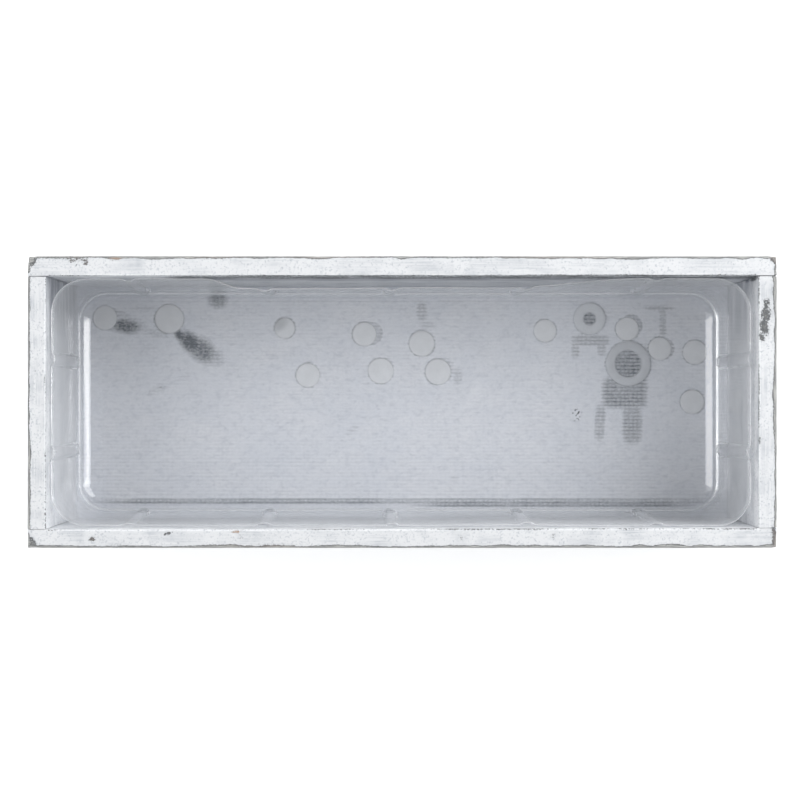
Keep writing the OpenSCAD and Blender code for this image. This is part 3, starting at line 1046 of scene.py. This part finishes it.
def liner_ring(inset, height, white):
    """One loop of the liner's outside, with its ribs, bow and the waviness of thin sheet. Also how white the
    plastic is at each point, and how scuffed. It whitens where it was drawn over a crease, and that white
    also stands in for the bright highlight lines along its creases, ribs and rim."""
    rise = np.clip(height / LINER_HEIGHT, 0, 1)
    corner = FLOOR_CORNER + (RIM_CORNER - FLOOR_CORNER) * (1 - np.clip(inset / FOOT, 0, 1))
    corner = min(corner, 0.9 * (RIM_HALF[1] - inset))
    place, outward = loop_points(RIM_HALF - inset, corner)
    at = np.column_stack([place, np.full(len(place), height)])
    wave = rise * (0.5 * noise(at, (34, 34, 60), 91) + 0.16 * noise(at, (9, 9, 30), 92))
    rib, creased = rib_push(place, height)
    depth = RIB_DEPTH * (1 - 0.5 * smooth(height, 20, LINER_HEIGHT))
    moved = place - outward * (depth * rib + back_bow(place, rise) - np.minimum(wave, 0.3))[:, None]
    moved[:, 0] += FOOT_SHIFT + RIM_RETURN * rise
    folds = 0.3 * noise(at, (50, 50, 5.5), 96) * (LOOP[:, 1] + 0.3) * smooth(height, 9, 14)
    moved -= outward * np.maximum(folds, 0)[:, None]
    moved = np.clip(moved, -RIM_LIMIT, RIM_LIMIT)
    trim = 0.5 * noise(at, (22, 22, 50), 93) * smooth(height, LINER_HEIGHT - 4, LINER_HEIGHT)
    floor_sway = 0.16 * (1 + noise(at, (45, 30, 50), 94) * smooth(inset, 50, 30)) * smooth(height, 6, 1)
    creased *= (1.3 - 0.7 * smooth(height, 14, 40)) * (height > 6)
    patchy = 0.7 + 0.3 * noise(at, (20, 20, 9), 95)
    whitened_and_highlit = np.clip(np.maximum(white, creased) * patchy, 0, 1)
    scuffed = smooth(place[:, 0], 10 - RIM_HALF[0], 7 - RIM_HALF[0]) * smooth(abs(height - 7.5), 4, 2.5)
    placed = np.column_stack([moved, LINER[0][2] + height + np.minimum(trim, 0) + floor_sway])
    return placed, whitened_and_highlit, scuffed


def clear_plastic():
    """Clear sheet: mostly transparent, glossy, with a faint haze that grows at glancing angles. Its creases
    are
    hazier and glossier: partly the plastic's whitening, partly painted highlight.
    """
    n = Nodes("clear_plastic")
    ripple = n.noise((60, 60, 9), 3.0, 0.5)
    dimple = n.noise((14, 14, 24), 3.0, 0.5)
    normal = n.bump(n.math("ADD", ripple, n.scaled(dimple, 0.5)), 0.5, 0.22)
    see = n.add("ShaderNodeBsdfTransparent", [("Color", CLEAR_TINT)]).outputs[0]
    haze = n.add("ShaderNodeBsdfDiffuse", [("Color", HAZE_TINT)]).outputs[0]
    rough = n.math("ADD", 0.08, n.scaled(n.attribute("whitened_and_highlit"), 0.25))
    values = [("Color", grey(1.0)), ("Roughness", rough), ("Normal", normal)]
    gloss = n.add("ShaderNodeBsdfGlossy", values).outputs[0]
    facing = n.add("ShaderNodeLayerWeight", [("Blend", 0.5), ("Normal", normal)]).outputs["Facing"]
    glancing = n.math("POWER", facing, 3.0)
    cloudy = n.math("ADD", 0.014, n.scaled(glancing, 0.26))
    # The creases' extra haze and gloss are partly the plastic's whitening, partly painted highlight lines.
    cloudy = n.math("MAXIMUM", cloudy, n.scaled(n.attribute("whitened_and_highlit"), 0.65))
    body = n.add("ShaderNodeMixShader", [(0, cloudy), (1, see), (2, haze)]).outputs[0]
    shine = n.math("ADD", 0.045, n.scaled(glancing, 0.22))
    shine = n.math("MAXIMUM", shine, n.scaled(n.attribute("whitened_and_highlit"), 0.42))
    shine = n.math("MULTIPLY", shine, n.math("SUBTRACT", 1.0, n.scaled(n.attribute("scuffed"), 0.85)))
    return n.output(n.add("ShaderNodeMixShader", [(0, shine), (1, body), (2, gloss)]).outputs[0])


def liner():
    """The tray, from rings stacked up its outside, given a sheet's thickness inward."""
    stations = [(FOOT + extra, 0, 0) for extra in reversed(FLOOR_INSETS)] + liner_profile()
    rings, whites_and_highlights, scuffs = zip(*(liner_ring(*station) for station in stations))
    count = len(LOOP)
    faces = []
    for k in range(len(rings) - 1):
        for i in range(count):
            j = (i + 1) % count
            faces.append([k * count + i, k * count + j, (k + 1) * count + j, (k + 1) * count + i])
    faces.append(list(reversed(range(count))))
    obj = make_mesh("liner_sheet", np.concatenate(rings), faces, clear_plastic())
    add_attribute(obj, "whitened_and_highlit", np.concatenate(whites_and_highlights))
    add_attribute(obj, "scuffed", np.concatenate(scuffs))
    solid = obj.modifiers.new("sheet", "SOLIDIFY")
    solid.thickness, solid.offset, solid.use_even_offset = LINER_SHEET * MM, -1, False
    apply_modifiers(obj)
    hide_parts("liner")
    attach(obj, "removable_liner")


liner()


# ---- Stage, lights and camera ----

# The camera's height above the rim and its place, in millimetres, and the share of the picture's width
# that the box fills.
CAMERA_HEIGHT = 1076
CAMERA_X, CAMERA_Y = -1.2, 1.05
SHOWN_SHARE = 0.9375
SENSOR = 36
STAGE_HALF = 4000


def add_camera():
    """Straight above, with the lens that makes the box's length fill its share of the picture."""
    data = bpy.data.cameras.new("camera")
    data.sensor_width = SENSOR
    data.lens = SENSOR * SHOWN_SHARE * CAMERA_HEIGHT / (2 * OUTER[0])
    camera = bpy.data.objects.new("camera", data)
    camera.location = (CAMERA_X * MM, CAMERA_Y * MM, (BOX_TOP + CAMERA_HEIGHT) * MM)
    bpy.context.scene.collection.objects.link(camera)
    bpy.context.scene.camera = camera


def add_softbox(name, place, size, power, aim=(0, 0, 0.05)):
    """A rectangular lamp of size (width, length) at a place, both in metres, that faces aim."""
    data = bpy.data.lights.new(name, "AREA")
    data.shape = "RECTANGLE"
    data.size, data.size_y = size
    data.energy = power
    lamp = bpy.data.objects.new(name, data)
    lamp.location = place
    towards = np.array(aim) - np.array(place)
    lamp.rotation_euler = Vector(towards).to_track_quat("-Z", "Y").to_euler()
    bpy.context.scene.collection.objects.link(lamp)
    return lamp


def add_world(strength):
    world = bpy.data.worlds.new("studio")
    world.use_nodes = True
    world.node_tree.nodes["Background"].inputs[0].default_value = SKY
    world.node_tree.nodes["Background"].inputs[1].default_value = strength
    bpy.context.scene.world = world


def add_stage():
    """A wide white floor under the box."""
    corners = [(STAGE_HALF * a, STAGE_HALF * b, 0) for a, b in ((-1, -1), (1, -1), (1, 1), (-1, 1))]
    floor = make_mesh("stage_floor", corners, [(0, 1, 2, 3)], stage_white(), False)


def add_card(name, x, height, width, power):
    """A tall bright card that only reflections see. It makes the strips of light along the liner's foot."""
    card = add_softbox(name, (x, 0.0, height / 2), (width, height), power, aim=(0, 0, height / 2))
    card.visible_diffuse = False


add_stage()
add_world(0.52)
add_card("card_left", x=-1.0, height=3.2, width=0.5, power=12)
add_card("card_right", x=1.0, height=3.2, width=0.5, power=15)
add_softbox("softbox_left", place=(-1.1, 0.0, 0.95), size=(1.2, 1.3), power=6.8)
add_softbox("softbox_right", place=(1.05, 0.48, 0.98), size=(1.2, 1.3), power=14.6)
softbox_back = add_softbox("softbox_back", place=(0.0, 1.25, 0.55), size=(1.6, 0.5), power=5.5)
softbox_back.visible_glossy = False
add_camera()
bpy.context.scene.view_settings.view_transform = "Standard"
